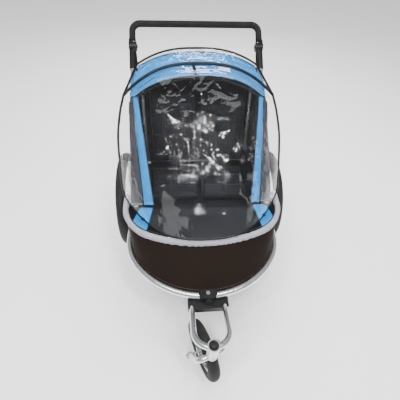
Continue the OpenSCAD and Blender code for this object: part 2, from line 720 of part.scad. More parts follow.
bumper_bow();
side_rails();
cross_tubes();
axle_beam();
axle_brackets();
side_axles();
hinge_brackets();
hinge_pins();
tow_socket();
tow_lock_pin();
floor_tray();
front_apron();
edge_band();
seat_cushion();
seat_back();
harness_straps();
harness_buckles();
left_tyre();
left_rim();
left_spokes();
left_hub();
left_bearings();
right_tyre();
right_rim();
right_spokes();
right_hub();
right_bearings();
left_release_button();
right_release_button();
bumper_clamp();
clamp_bolt();
arm_block();
front_arm();
headset_bushes();
castor_fork();
castor_steerer();
steerer_cap();
front_axle();
front_tyre();
front_rim();
front_bearings();
front_posts();
handle_sleeves();
handle_pins();
rear_hoop();
handle_knuckles();
handle_tube();
foam_grip();
left_angle_button();
right_angle_button();
brake_pedal();
brake_hangers();
hood_bow();
canopy_roof();
side_panels();
opening_trim();
lower_front_panel();
rear_panel();
rain_cover_front();
rain_cover_top();
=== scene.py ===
import math

import bmesh
import bpy
from mathutils import Euler, Matrix, Vector, noise


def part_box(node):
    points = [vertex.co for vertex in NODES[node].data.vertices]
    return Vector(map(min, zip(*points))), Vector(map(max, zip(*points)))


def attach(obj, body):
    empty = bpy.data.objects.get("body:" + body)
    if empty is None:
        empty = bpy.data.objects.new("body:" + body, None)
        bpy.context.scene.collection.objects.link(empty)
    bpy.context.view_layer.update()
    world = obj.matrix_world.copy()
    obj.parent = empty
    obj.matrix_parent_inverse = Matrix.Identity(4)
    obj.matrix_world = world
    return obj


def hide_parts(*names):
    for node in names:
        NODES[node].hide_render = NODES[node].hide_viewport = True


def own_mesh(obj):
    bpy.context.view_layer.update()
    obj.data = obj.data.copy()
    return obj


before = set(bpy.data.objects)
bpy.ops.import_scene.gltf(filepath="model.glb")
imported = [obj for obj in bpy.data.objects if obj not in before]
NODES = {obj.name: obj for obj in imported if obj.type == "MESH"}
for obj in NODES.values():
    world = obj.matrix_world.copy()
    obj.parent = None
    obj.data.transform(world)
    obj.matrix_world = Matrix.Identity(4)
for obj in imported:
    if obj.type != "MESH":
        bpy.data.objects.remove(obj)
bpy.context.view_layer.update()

MM = 0.001


def middle(node):
    """Middle of a CAD node's box."""
    low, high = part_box(node)
    return (low + high) / 2


AXLE_Y = middle("left_tyre").y
FLOOR_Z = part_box("left_tyre")[0].z


def at(x, y, z):
    """A point given in millimetres from the floor below the middle of the side wheels' axle."""
    return Vector((x * MM, AXLE_Y + y * MM, z * MM))


# ---------------------------------------------------------------- camera, light and floor

CAMERA_PLACE = at(-104, -1149, 1457)
CAMERA_DOWN = 47.0
CAMERA_TURN = 5.8
CAMERA_ROLL = 2.6
CAMERA_LENS = 26.6


def make_camera():
    data = bpy.data.cameras.new("camera")
    data.lens = CAMERA_LENS
    data.sensor_width = 36.0
    data.clip_end = 50
    camera = bpy.data.objects.new("camera", data)
    bpy.context.scene.collection.objects.link(camera)
    turn = Euler((math.radians(90 - CAMERA_DOWN), 0, -math.radians(CAMERA_TURN)), "XYZ").to_matrix().to_4x4()
    roll = Matrix.Rotation(math.radians(CAMERA_ROLL), 4, "Z")
    camera.matrix_world = Matrix.Translation(CAMERA_PLACE) @ turn @ roll
    bpy.context.scene.camera = camera


def make_light(name, place, target, size, power, in_gloss=False):
    """A soft rectangular lamp. Only lamps with in_gloss show as reflections."""
    data = bpy.data.lights.new(name, "AREA")
    data.shape = "RECTANGLE"
    data.size, data.size_y = size
    data.energy = power
    lamp = bpy.data.objects.new(name, data)
    bpy.context.scene.collection.objects.link(lamp)
    aim = (Vector(target) - Vector(place)).to_track_quat("-Z", "Y")
    lamp.matrix_world = Matrix.Translation(place) @ aim.to_matrix().to_4x4()
    lamp.visible_glossy = in_gloss


def make_world():
    """Even white light all round, which reflections see dimmer."""
    world = bpy.data.worlds.new("studio")
    world.use_nodes = True
    tree = world.node_tree
    back = tree.nodes["Background"]
    back.inputs["Color"].default_value = (1, 1, 1, 1)
    path = tree.nodes.new("ShaderNodeLightPath")
    dim = maths(tree, "MULTIPLY", path.outputs["Is Glossy Ray"], WORLD_LIGHT - WORLD_GLOSS)
    tree.links.new(maths(tree, "SUBTRACT", WORLD_LIGHT, dim), back.inputs["Strength"])
    bpy.context.scene.world = world


WORLD_LIGHT, WORLD_GLOSS = 1.0, 0.42


def make_studio():
    make_light("top_softbox", (0.0, 1.2, 3.2), (0, 0.1, 0), (3.4, 2.2), 120)
    make_light("front_softbox", (-1.8, -2.6, 2.2), (0, 0, 0.5), (2.2, 1.6), 50)
    make_light("right_softbox", (3.0, -1.0, 1.7), (0, 0, 0.5), (1.2, 1.8), 30)
    make_light("rear_window", (0.3, 3.2, 2.0), (0, 0.3, 0.9), (1.5, 0.7), 40, True)
    for number, x in enumerate((-0.9, -0.45, 0.0, 0.45, 0.9)):
        make_light("strip_light_%d" % number, (x, -0.9 - 0.5 * (number % 3), 3.0), (0, -0.1, 0.7), (0.05, 0.5), 22,
                   True)
    make_world()
    bm = bmesh.new()
    bmesh.ops.create_grid(bm, x_segments=2, y_segments=2, size=9)
    bmesh.ops.translate(bm, verts=bm.verts, vec=(0, 0, FLOOR_Z - 0.0005))
    mesh = bpy.data.meshes.new("floor")
    bm.to_mesh(mesh)
    bm.free()
    floor = bpy.data.objects.new("floor", mesh)
    bpy.context.scene.collection.objects.link(floor)
    floor.data.materials.append(plain("floor_paint", (0.93, 0.93, 0.93), 0.75))


# ---------------------------------------------------------------- node groups that materials share

def node_in(tree, kind, **values):
    """Adds a node; values set those of its properties that it has."""
    made = tree.nodes.new(kind)
    for key, value in values.items():
        if hasattr(made, key):
            setattr(made, key, value)
    return made


def maths(tree, operation, a, b=0.0, clamp=False):
    made = tree.nodes.new("ShaderNodeMath")
    made.operation = operation
    made.use_clamp = clamp
    for socket, value in zip(made.inputs, (a, b)):
        if isinstance(value, (int, float)):
            socket.default_value = value
        else:
            tree.links.new(value, socket)
    return made.outputs[0]


def new_group(name, inputs, outputs):
    tree = bpy.data.node_groups.new(name, "ShaderNodeTree")
    for label, kind, value in inputs:
        socket = tree.interface.new_socket(label, in_out="INPUT", socket_type=kind)
        if value is not None:
            socket.default_value = value
    for label, kind in outputs:
        tree.interface.new_socket(label, in_out="OUTPUT", socket_type=kind)
    return tree, tree.nodes.new("NodeGroupInput").outputs, tree.nodes.new("NodeGroupOutput").inputs


def tinted(tree, factor, first, second):
    """Mixes two colours by a factor."""
    mix = tree.nodes.new("ShaderNodeMix")
    mix.data_type = "RGBA"
    tree.links.new(factor, mix.inputs[0])
    for socket, value in ((mix.inputs[6], first), (mix.inputs[7], second)):
        if isinstance(value, tuple):
            socket.default_value = (*value, 1)
        else:
            tree.links.new(value, socket)
    return mix.outputs[2]


def woven_group():
    """Plain weave on a vector in metres, with thread height, faded patches, painted shade in the low spots between
    threads, and roughness.
    """
    tree, given, out = new_group("plain_weave", [
        ("Vector", "NodeSocketVector", None), ("Threads", "NodeSocketFloat", 900.0),
        ("Colour", "NodeSocketColor", (0.5, 0.5, 0.5, 1)), ("Faded", "NodeSocketColor", (0.6, 0.6, 0.6, 1))],
        [("Colour", "NodeSocketColor"), ("Height", "NodeSocketFloat"), ("Roughness", "NodeSocketFloat")])
    split = tree.nodes.new("ShaderNodeSeparateXYZ")
    tree.links.new(given["Vector"], split.inputs[0])
    turn = maths(tree, "MULTIPLY", given["Threads"], math.pi)
    warp = maths(tree, "SINE", maths(tree, "MULTIPLY", split.outputs[0], turn))
    weft = maths(tree, "SINE", maths(tree, "MULTIPLY", split.outputs[1], turn))
    cross = maths(tree, "MULTIPLY", warp, weft)
    height = maths(tree, "MULTIPLY_ADD", cross, 0.5)
    height.node.inputs[2].default_value = 0.5
    patches = node_in(tree, "ShaderNodeTexNoise")
    patches.inputs["Scale"].default_value = 9.0
    patches.inputs["Detail"].default_value = 5.0
    tree.links.new(given["Vector"], patches.inputs["Vector"])
    fading = maths(tree, "MULTIPLY", patches.outputs[0], 0.75)
    faded = tinted(tree, fading, given["Colour"], given["Faded"])
    # Painted shade: the colour darkens towards black, by up to 35 per cent, where the weave is low between threads.
    gap = tinted(tree, maths(tree, "MULTIPLY", maths(tree, "SUBTRACT", 1.0, height), 0.35), faded, (0, 0, 0))
    tree.links.new(gap, out["Colour"])
    tree.links.new(height, out["Height"])
    tree.links.new(maths(tree, "MULTIPLY_ADD", patches.outputs[0], 0.2), out["Roughness"])
    out["Roughness"].links[0].from_node.inputs[2].default_value = 0.68
    return tree


def grain_group():
    """Fine grain and broad blotches for plastic, paint, rubber and foam."""
    tree, given, out = new_group("moulded_grain", [
        ("Vector", "NodeSocketVector", None), ("Grain", "NodeSocketFloat", 1500.0),
        ("Colour", "NodeSocketColor", (0.1, 0.1, 0.1, 1)), ("Dusty", "NodeSocketColor", (0.2, 0.2, 0.2, 1)),
        ("Smooth", "NodeSocketFloat", 0.4)],
        [("Colour", "NodeSocketColor"), ("Height", "NodeSocketFloat"), ("Roughness", "NodeSocketFloat")])
    fine = node_in(tree, "ShaderNodeTexNoise")
    fine.inputs["Detail"].default_value = 3.0
    tree.links.new(given["Vector"], fine.inputs["Vector"])
    tree.links.new(given["Grain"], fine.inputs["Scale"])
    broad = node_in(tree, "ShaderNodeTexNoise")
    broad.inputs["Scale"].default_value = 14.0
    broad.inputs["Detail"].default_value = 6.0
    broad.inputs["Roughness"].default_value = 0.62
    tree.links.new(given["Vector"], broad.inputs["Vector"])
    spread = node_in(tree, "ShaderNodeMapRange")
    spread.inputs["From Min"].default_value = 0.42
    spread.inputs["From Max"].default_value = 0.78
    tree.links.new(broad.outputs[0], spread.inputs["Value"])
    tree.links.new(tinted(tree, spread.outputs[0], given["Colour"], given["Dusty"]), out["Colour"])
    tree.links.new(fine.outputs[0], out["Height"])
    change = maths(tree, "MULTIPLY", maths(tree, "SUBTRACT", broad.outputs[0], 0.5), 0.35)
    tree.links.new(maths(tree, "ADD", given["Smooth"], change), out["Roughness"])
    return tree


def stitch_group():
    """Dashes along a vector's X at a set distance from its Y = 0 edge, in metres."""
    tree, given, out = new_group("stitch_row", [
        ("Vector", "NodeSocketVector", None), ("Distance", "NodeSocketFloat", 0.005),
        ("Pitch", "NodeSocketFloat", 0.004)], [("Mask", "NodeSocketFloat")])
    split = tree.nodes.new("ShaderNodeSeparateXYZ")
    tree.links.new(given["Vector"], split.inputs[0])
    along = maths(tree, "FRACT", maths(tree, "DIVIDE", split.outputs[0], given["Pitch"]))
    dash = maths(tree, "LESS_THAN", along, 0.68)
    away = maths(tree, "ABSOLUTE", maths(tree, "SUBTRACT", split.outputs[1], given["Distance"]))
    tree.links.new(maths(tree, "MULTIPLY", dash, maths(tree, "LESS_THAN", away, 0.0007)), out["Mask"])
    return tree


def new_material(name):
    made = bpy.data.materials.new(name)
    made.use_nodes = True
    return made, made.node_tree, made.node_tree.nodes["Principled BSDF"]


def add_group(tree, group, **values):
    made = tree.nodes.new("ShaderNodeGroup")
    made.node_tree = bpy.data.node_groups[group]
    for label, value in values.items():
        made.inputs[label].default_value = (*value, 1) if isinstance(value, tuple) else value
    return made


def add_bump(tree, shader, height, distance, strength=1.0, under=None):
    bump = tree.nodes.new("ShaderNodeBump")
    bump.inputs["Distance"].default_value = distance
    bump.inputs["Strength"].default_value = strength
    tree.links.new(height, bump.inputs["Height"])
    if under is not None:
        tree.links.new(under, bump.inputs["Normal"])
    tree.links.new(bump.outputs[0], shader.inputs["Normal"])
    return bump.outputs[0]


def place_of(tree, uv=False):
    return tree.nodes.new("ShaderNodeTexCoord").outputs["UV" if uv else "Object"]


def plain(name, colour, roughness):
    made, tree, shader = new_material(name)
    coarse = node_in(tree, "ShaderNodeTexNoise")
    coarse.inputs["Scale"].default_value = 3.0
    tree.links.new(place_of(tree), coarse.inputs["Vector"])
    shade = tuple(c * 0.985 for c in colour)
    tree.links.new(tinted(tree, coarse.outputs[0], colour, shade), shader.inputs["Base Color"])
    shader.inputs["Roughness"].default_value = roughness
    return made


def cloth(name, colour, faded, threads=900.0, bump=0.0003, sheen=0.25, stitches=(), thread=(0.5, 0.5, 0.5),
          uv=True):
    """Woven cloth on a piece's own UV map, in metres, with rows of stitches at set distances from its edge."""
    made, tree, shader = new_material(name)
    uv = place_of(tree, uv)
    weave = add_group(tree, "plain_weave", Threads=threads, Colour=colour, Faded=faded)
    tree.links.new(uv, weave.inputs["Vector"])
    shown, height = weave.outputs["Colour"], weave.outputs["Height"]
    for distance in stitches:
        row = add_group(tree, "stitch_row", Distance=distance)
        tree.links.new(uv, row.inputs["Vector"])
        shown = tinted(tree, row.outputs[0], shown, thread)
        height = maths(tree, "ADD", height, maths(tree, "MULTIPLY", row.outputs[0], 1.5))
    tree.links.new(shown, shader.inputs["Base Color"])
    tree.links.new(weave.outputs["Roughness"], shader.inputs["Roughness"])
    shader.inputs["Sheen Weight"].default_value = sheen
    shader.inputs["Sheen Roughness"].default_value = 0.4
    shader.inputs["Specular IOR Level"].default_value = 0.12
    add_bump(tree, shader, height, bump)
    return made


def moulded(name, colour, dusty, smooth, grain=1500.0, bump=0.0002, specular=0.3, metallic=0.0):
    made, tree, shader = new_material(name)
    skin = add_group(tree, "moulded_grain", Grain=grain, Colour=colour, Dusty=dusty, Smooth=smooth)
    tree.links.new(place_of(tree), skin.inputs["Vector"])
    tree.links.new(skin.outputs["Colour"], shader.inputs["Base Color"])
    tree.links.new(skin.outputs["Roughness"], shader.inputs["Roughness"])
    shader.inputs["Specular IOR Level"].default_value = specular
    shader.inputs["Metallic"].default_value = metallic
    add_bump(tree, shader, skin.outputs["Height"], bump)
    return made


def clear_film():
    """Clear soft vinyl: glossy, faintly hazy in patches, with sharp creases."""
    made, tree, shader = new_material("clear_vinyl")
    place = place_of(tree)
    crease = node_in(tree, "ShaderNodeTexNoise")
    crease.noise_type = "RIDGED_MULTIFRACTAL"
    crease.inputs["Scale"].default_value = 8.0
    crease.inputs["Detail"].default_value = 2.5
    crease.inputs["Distortion"].default_value = 1.4
    tree.links.new(place, crease.inputs["Vector"])
    swell = node_in(tree, "ShaderNodeTexNoise")
    swell.inputs["Scale"].default_value = 13.0
    swell.inputs["Detail"].default_value = 3.0
    swell.inputs["Distortion"].default_value = 0.6
    tree.links.new(place, swell.inputs["Vector"])
    first = add_bump(tree, shader, swell.outputs[0], 0.005, 0.4)
    add_bump(tree, shader, crease.outputs[0], 0.0015, 0.5, under=first)
    haze = node_in(tree, "ShaderNodeMapRange")
    haze.inputs["From Min"].default_value = 0.45
    haze.inputs["From Max"].default_value = 0.75
    haze.inputs["To Min"].default_value = 0.01
    haze.inputs["To Max"].default_value = 0.035
    tree.links.new(swell.outputs[0], haze.inputs["Value"])
    tree.links.new(haze.outputs[0], shader.inputs["Roughness"])
    shader.inputs["Base Color"].default_value = (0.985, 0.99, 1.0, 1)
    shader.inputs["Transmission Weight"].default_value = 1.0
    shader.inputs["IOR"].default_value = 1.33
    shader.inputs["Specular IOR Level"].default_value = 0.4
    return made


def make_materials():
    woven_group()
    grain_group()
    stitch_group()
    return {
        "blue": cloth("blue_canopy_cloth", (0.0, 0.125, 0.34), (0.005, 0.175, 0.44), stitches=(0.005, 0.011), sheen=0.03,
                      thread=(0.10, 0.35, 0.62)),
        "charcoal": cloth("charcoal_side_cloth", (0.016, 0.016, 0.020), (0.03, 0.03, 0.036), stitches=(0.006,), sheen=0.05),
        "black": cloth("black_cabin_cloth", (0.003, 0.0035, 0.0045), (0.008, 0.009, 0.011), stitches=(0.006,), sheen=0.0,
                       thread=(0.08, 0.08, 0.09)),
        "pad": cloth("seat_pad_cloth", (0.004, 0.0045, 0.006), (0.010, 0.011, 0.014), threads=700.0, sheen=0.02, uv=False),
        "mesh": cloth("side_window_net", (0.085, 0.085, 0.10), (0.12, 0.12, 0.145), threads=420.0, bump=0.0006, sheen=0.05),
        "brown": cloth("front_panel_cloth", (0.0085, 0.0048, 0.0034), (0.016, 0.0100, 0.0075), threads=1100.0,
                       bump=0.00015, sheen=0.02, stitches=(0.006,), thread=(0.10, 0.08, 0.07)),
        "grey": cloth("grey_gathered_trim", (0.26, 0.26, 0.30), (0.52, 0.52, 0.57), threads=1300.0, sheen=0.1),
        "webbing": cloth("black_webbing", (0.006, 0.006, 0.0065), (0.014, 0.014, 0.015), threads=500.0, bump=0.0006, sheen=0.03),
        "binding": moulded("black_vinyl_binding", (0.004, 0.004, 0.0045), (0.010, 0.010, 0.011), 0.42, grain=900.0, specular=0.3),
        "silver": moulded("satin_aluminium", (0.80, 0.81, 0.83), (0.72, 0.73, 0.75), 0.30, grain=2600.0,
                          bump=0.00004, specular=0.5, metallic=1.0),
        "rim": moulded("polished_rim", (0.78, 0.79, 0.80), (0.62, 0.62, 0.63), 0.26, grain=1800.0, bump=0.00004,
                       specular=0.5, metallic=1.0),
        "steel": moulded("zinc_steel", (0.66, 0.66, 0.67), (0.50, 0.50, 0.52), 0.34, grain=2200.0, bump=0.00005,
                         specular=0.5, metallic=1.0),
        "bracket": moulded("black_powder_coat", (0.008, 0.008, 0.009), (0.02, 0.02, 0.021), 0.45, grain=1100.0),
        "plastic": moulded("black_moulded_plastic", (0.005, 0.005, 0.0055), (0.013, 0.013, 0.014), 0.42,
                           grain=1700.0, bump=0.00015),
        "tyre": moulded("tyre_rubber", (0.006, 0.006, 0.0065), (0.022, 0.021, 0.019), 0.72, grain=800.0,
                        bump=0.0003, specular=0.35),
        "foam": moulded("foam_grip_skin", (0.007, 0.007, 0.0075), (0.016, 0.016, 0.017), 0.80, grain=520.0,
                        bump=0.0012, specular=0.3),
        "vinyl": clear_film(),
    }


# ---------------------------------------------------------------- pieces


def add_piece(name, bm, material, body, replaces=(), soft=True, smooth=True):
    """Makes an object of a finished bmesh, parents it to the body that it rides on, and hides the CAD nodes that it
    replaces.
    """
    mesh = bpy.data.meshes.new(name)
    bm.to_mesh(mesh)
    bm.free()
    made = bpy.data.objects.new(name, mesh)
    bpy.context.scene.collection.objects.link(made)
    mesh.materials.append(material)
    for face in mesh.polygons:
        face.use_smooth = smooth
    return place_piece(made, body, replaces, soft)


def place_piece(made, body, replaces=(), soft=True):
    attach(made, body)
    if replaces:
        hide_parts(*replaces)
    if soft:
        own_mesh(made)
    return made


def hermite(t, keys):
    """Smooth value at t through a few (place, value) keys."""
    spots = [k[0] for k in keys]
    values = [k[1] for k in keys]
    if t <= spots[0]:
        return values[0]
    if t >= spots[-1]:
        return values[-1]
    i = max(j for j in range(len(keys) - 1) if spots[j] <= t)

    def slope(j):
        a, b = max(j - 1, 0), min(j + 1, len(keys) - 1)
        return (values[b] - values[a]) / (spots[b] - spots[a])

    gap = spots[i + 1] - spots[i]
    s = (t - spots[i]) / gap
    return ((2 * s**3 - 3 * s**2 + 1) * values[i] + (s**3 - 2 * s**2 + s) * gap * slope(i)
            + (3 * s**2 - 2 * s**3) * values[i + 1] + (s**3 - s**2) * gap * slope(i + 1))


def cross_point(u, width, mid, end, power):
    """Point of a bowed cross row: u runs from -1 to 1, mid and end are (y, z) in millimetres."""
    share = math.sin(math.radians(90 * u))
    k = abs(share) ** power
    return at(width * share, mid[0] + (end[0] - mid[0]) * k, mid[1] + (end[1] - mid[1]) * k)


def sheet_mesh(shape, across, along, outward, wrap=False):
    """A grid bent to shape(u, v), with u and v from 0 to 1, and a UV map in metres. outward is a rough normal."""
    bm = bmesh.new()
    uv = bm.loops.layers.uv.new("UVMap")
    bmesh.ops.create_grid(bm, x_segments=across, y_segments=along, size=0.5)
    spots = {v: (v.co.x + 0.5, v.co.y + 0.5) for v in bm.verts}
    for v, (a, b) in spots.items():
        v.co = shape(a, b)
    width = sum((shape((i + 1) / across, 0.5) - shape(i / across, 0.5)).length for i in range(across))
    length = sum((shape(0.5, (i + 1) / along) - shape(0.5, i / along)).length for i in range(along))
    for face in bm.faces:
        for loop in face.loops:
            a, b = spots[loop.vert]
            loop[uv].uv = (a * width, b * length)
    area = sum(face.calc_area() for face in bm.faces)
    bm.normal_update()
    if callable(outward):
        lean = sum(face.normal.dot(outward(face.calc_center_median())) * face.calc_area() for face in bm.faces)
    else:
        lean = sum(face.normal.dot(Vector(outward)) * face.calc_area() for face in bm.faces)
    if lean < 0:
        bmesh.ops.reverse_faces(bm, faces=bm.faces[:])
    if wrap:
        bmesh.ops.remove_doubles(bm, verts=bm.verts[:], dist=1e-6)
    return bm, (width, length), area


def thicken(made, thickness, levels=1):
    wall = made.modifiers.new("thickness", "SOLIDIFY")
    wall.thickness = thickness
    wall.offset = -1
    if levels:
        finer = made.modifiers.new("smooth", "SUBSURF")
        finer.levels = finer.render_levels = levels


def cloth_sheet(name, shape, cells, outward, material, replaces=(), thickness=0.0012,
                levels=1, body="chassis", soft=True):
    """A sheet of cloth bent to shape and given a thickness."""
    bm, (width, length), area = sheet_mesh(shape, cells[0], cells[1], outward)
    made = add_piece(name, bm, material, body, replaces, soft)
    thicken(made, thickness, levels)
    width, length = max(width, area / length / 0.98), length
    round(min(area, width * length * 0.999), 4)
    return made


def piping(name, points, radius, material, closed=False, body="chassis", soft=True, flat=1.0,
           replaces=()):
    """A round bead along points, as a mesh."""
    data = bpy.data.curves.new(name, "CURVE")
    data.dimensions = "3D"
    data.bevel_depth = radius
    data.bevel_resolution = 3
    data.use_fill_caps = True
    line = data.splines.new("POLY")
    line.points.add(len(points) - 1)
    for spot, point in zip(line.points, points):
        spot.co = (*point, 1)
    line.use_cyclic_u = closed
    curve = bpy.data.objects.new(name + "_line", data)
    bpy.context.scene.collection.objects.link(curve)
    bpy.context.view_layer.update()
    mesh = bpy.data.meshes.new_from_object(curve.evaluated_get(bpy.context.evaluated_depsgraph_get()))
    bpy.data.objects.remove(curve)
    bm = bmesh.new()
    bm.from_mesh(mesh)
    bpy.data.meshes.remove(mesh)
    return add_piece(name, bm, material, body, replaces, soft)


def dress(material, *names):
    """Gives CAD nodes their finish."""
    for name in names:
        data = NODES[name].data
        data.materials.clear()
        data.materials.append(material)


def noise_at(place):
    """A smooth random vector, the same on every run, with numbers from -1 to 1."""
    return Vector([noise.noise(place + Vector((shift, -shift, 2 * shift))) for shift in (0.0, 11.3, 27.1)])


def crumple(point, size, strength, seed=0.0):
    """A small vector that changes smoothly over space, for folds in cloth."""
    return noise_at(point / size + Vector((seed, 2.3 * seed, -seed))) * strength




# ---------------------------------------------------------------- outlines that the pieces follow

SIDES = {"left": -1, "right": 1}
ROOF_POWER, COVER_POWER = 2.5, 2.6


def oval_point(a, b, corner, turn):
    """(x, y) on an oval front of half width a and depth b: a round corner of radius corner on each side of one arc."""
    if turn > 90:
        x, y = oval_point(a, b, corner, 180 - turn)
        return -x, y
    big = ((a - corner) ** 2 + b * b - corner * corner) / (2 * (b - corner))
    change = math.degrees(math.atan2(big - b, a - corner))
    if turn < change:
        return a - corner + corner * math.cos(math.radians(turn)), -corner * math.sin(math.radians(turn))
    return big * math.cos(math.radians(turn)), big - b - big * math.sin(math.radians(turn))


def front_curve(k, turn, inset):
    """A point (x, y) of the front: k runs from the bumper tube, 0, up to the grey band, 1."""
    tuck = 9 * max(0.0, 1 - k) + inset
    a, b, corner = 338 + 7 * k - tuck, 292 - 79 * k - tuck, 240 - 62 * k - tuck
    x, y = oval_point(a, b, corner, max(0, min(180, turn)))
    return x, y - 326 + 79 * k + 4 * max(0, -turn, turn - 180)


def apron_at(turn, k, inset=0.0):
    x, y = front_curve(k, turn, inset)
    out = Vector((math.cos(math.radians(turn)), -math.sin(math.radians(turn)), 0))
    place = at(x, y, 324 + 122 * k + 10 * math.sin(math.pi * k))
    ease = math.sin(math.pi * k)
    return place + out * (crumple(place, 0.11, 0.003, 1.0).x - 0.002) * ease


def trim_at(t, side, out=0.0):
    """A point of the blue strip beside the opening, from its foot to the hood. out runs across it."""
    bend = math.sin(math.pi * t)
    x, y, z = 218 + 60 * t, -262 + 380 * t - 6 * bend, 474 + 314 * t + 8 * bend
    return at(side * (x + (46 - 18 * t) * out), y + 16 * out, z - 16 * out)


def side_at(t, u, side, offset=0.0):
    """A point of the side cloth: t from front to back along the rail, u from the rail up to the blue strip."""
    edge = trim_at(t, 1, 1.0) - at(0, 0, 0)
    y_top, z_top = edge.y / MM, edge.z / MM
    foot = -246 + 436 * t
    y = hermite(u, [(0, foot), (0.45, (y_top + 12 + foot) / 2), (0.85, y_top + 12), (1, y_top + 1)])
    z = hermite(u, [(0, 331), (0.45, (z_top - 12 + 331) / 2), (0.85, z_top - 12), (1, z_top - 1)])
    x = hermite(u, [(0, 320.5), (0.5, 322.5), (0.88, 321), (1, edge.x / MM + 2)])
    place = at(side * (x + offset), y, z)
    return place + Vector((side * crumple(place, 0.12, 0.003, 4.0).x * math.sin(math.pi * u) ** 0.5, 0, 0))


def roof_at(u, k, drop=0.0):
    mid = (83 + 244 * k, 900 + 6 * k + 4 * math.sin(math.pi * k) - drop)
    return cross_point(u, 290 - 8 * k - drop, mid, (120 + 165 * k, 790 + 64 * k - 0.6 * drop), ROOF_POWER)


COVER_KEYS = {
    "width": [(0, 352), (0.15, 362), (0.5, 376), (0.8, 362), (1, 342)],
    "mid_y": [(0, -458), (0.35, -262), (0.8, 66), (0.9, 130), (1, 182)],
    "mid_z": [(0, 474), (0.35, 650), (0.8, 902), (0.9, 909), (1, 912)],
    "end_y": [(0, -200), (0.15, -160), (0.5, -10), (1, 118)],
    "end_z": [(0, 478), (0.15, 500), (0.5, 640), (1, 796)],
    "power": [(0, 2.6), (0.3, 3.2), (1, 2.6)]}


def cover_at(u, t):
    key = {name: hermite(t, keys) for name, keys in COVER_KEYS.items()}
    return cross_point(u, key["width"], (key["mid_y"], key["mid_z"]), (key["end_y"], key["end_z"]), key["power"])


def cover_top_at(u, k):
    mid = (183.5 + 154 * k, 912 + 8 * k + 3 * math.sin(math.pi * k))
    return cross_point(u, 342 - 56 * k, mid, (119.5 + 160 * k, 796 + 70 * k), COVER_POWER)


def outward_of(centre):
    return lambda spot: spot - centre


def creased(place, size, height, seed):
    """How far a film stands up along the thin, curling creases of a crumpled sheet."""
    warped = place / size + noise_at(place / (size * 1.4) + Vector((seed, 0, seed))) * 0.9
    level = noise.noise(warped + Vector((0, seed, 0)))
    spread = 0.5 + 0.5 * noise.noise(place / 0.16 + Vector((seed, seed, 0)))
    return height * spread * math.exp(-(level / 0.075) ** 2)


CABIN = at(0, -60, 560)


# ---------------------------------------------------------------- cloth pieces

def make_front(mats):
    """The brown front panel, its black lining, and the grey gathered band on top."""
    cloth_sheet("front_panel_cover", lambda u, v: apron_at(-15 + 210 * u, v), (120, 16), outward_of(at(0, -200, 390)),
                mats["brown"], ("front_apron",), 0.0025)
    cloth_sheet("front_lining", lambda u, v: apron_at(-15 + 210 * u, v, 5.5), (80, 8), outward_of(at(0, -200, 390)),
                mats["black"], (), 0.001)

    def band(u, v):
        turn = -15 + 211 * v
        around = math.radians(-100 + 330 * u)
        x, y = front_curve(1, turn, 0)
        out = Vector((math.cos(math.radians(turn)), -math.sin(math.radians(max(0, min(180, turn)))), 0)).normalized()
        rise = 0.12 * 4 * max(0, -turn, turn - 180)
        pleat = math.sin(170 * math.pi * v + 2.6 * math.sin(41 * v) + 1.3 * math.sin(97 * v)) * 0.0016
        swell = 0.0009 * math.sin(23 * v) + pleat * (0.7 + 0.3 * math.sin(61 * v)) + 0.001 * noise.noise(Vector((90 * v, 3 * u, 0)))
        return (at(x, y, 452 + rise) + out * (math.cos(around) * (0.0115 + swell))
                + Vector((0, 0, math.sin(around) * (0.0150 + swell))))

    cloth_sheet("gathered_band", band, (14, 900), outward_of(at(0, -150, 452)), mats["grey"],
                ("edge_band",), 0.0012, levels=0)


def make_canopy(mats):
    def roof(u, v):
        place = roof_at(2 * u - 1, v)
        slack = math.sin(math.pi * v) * math.sin(math.pi * u)
        return place + Vector((0, 0, -0.006 * slack + crumple(place, 0.13, 0.006, 7.0).x * (0.3 + slack)))

    cloth_sheet("canopy_roof_cloth", roof, (72, 24), outward_of(CABIN), mats["blue"],
                ("canopy_roof",), 0.0013)
    low = [roof_at(-1 + i / 30, 0) for i in range(61)]
    piping("canopy_front_binding", low, 0.0032, mats["binding"])
    piping("canopy_rear_binding", [roof_at(-1 + i / 30, 1) for i in range(61)], 0.003, mats["binding"])
    for name, side in SIDES.items():
        cloth_sheet(name + "_shoulder_cloth", lambda u, v: roof_at(side, 0.82 * v).lerp(
            at(side * 319, 136 + 140 * v, 771 + 62 * v), u) + Vector((0, 0, 0.006 * math.sin(math.pi * u))),
            (8, 16), outward_of(CABIN), mats["blue"], (), 0.0013)
        cloth_sheet(name + "_opening_strip", lambda u, v: trim_at(v, side, u) + Vector(
            (side * 0.004, -0.001, 0.004)) * math.sin(math.pi * u), (6, 48), outward_of(at(0, 0, 500)),
            mats["blue"], ("opening_trim",), 0.0015)
        piping(name + "_opening_binding", [trim_at(i / 40, side, 0) for i in range(41)], 0.0024, mats["binding"])


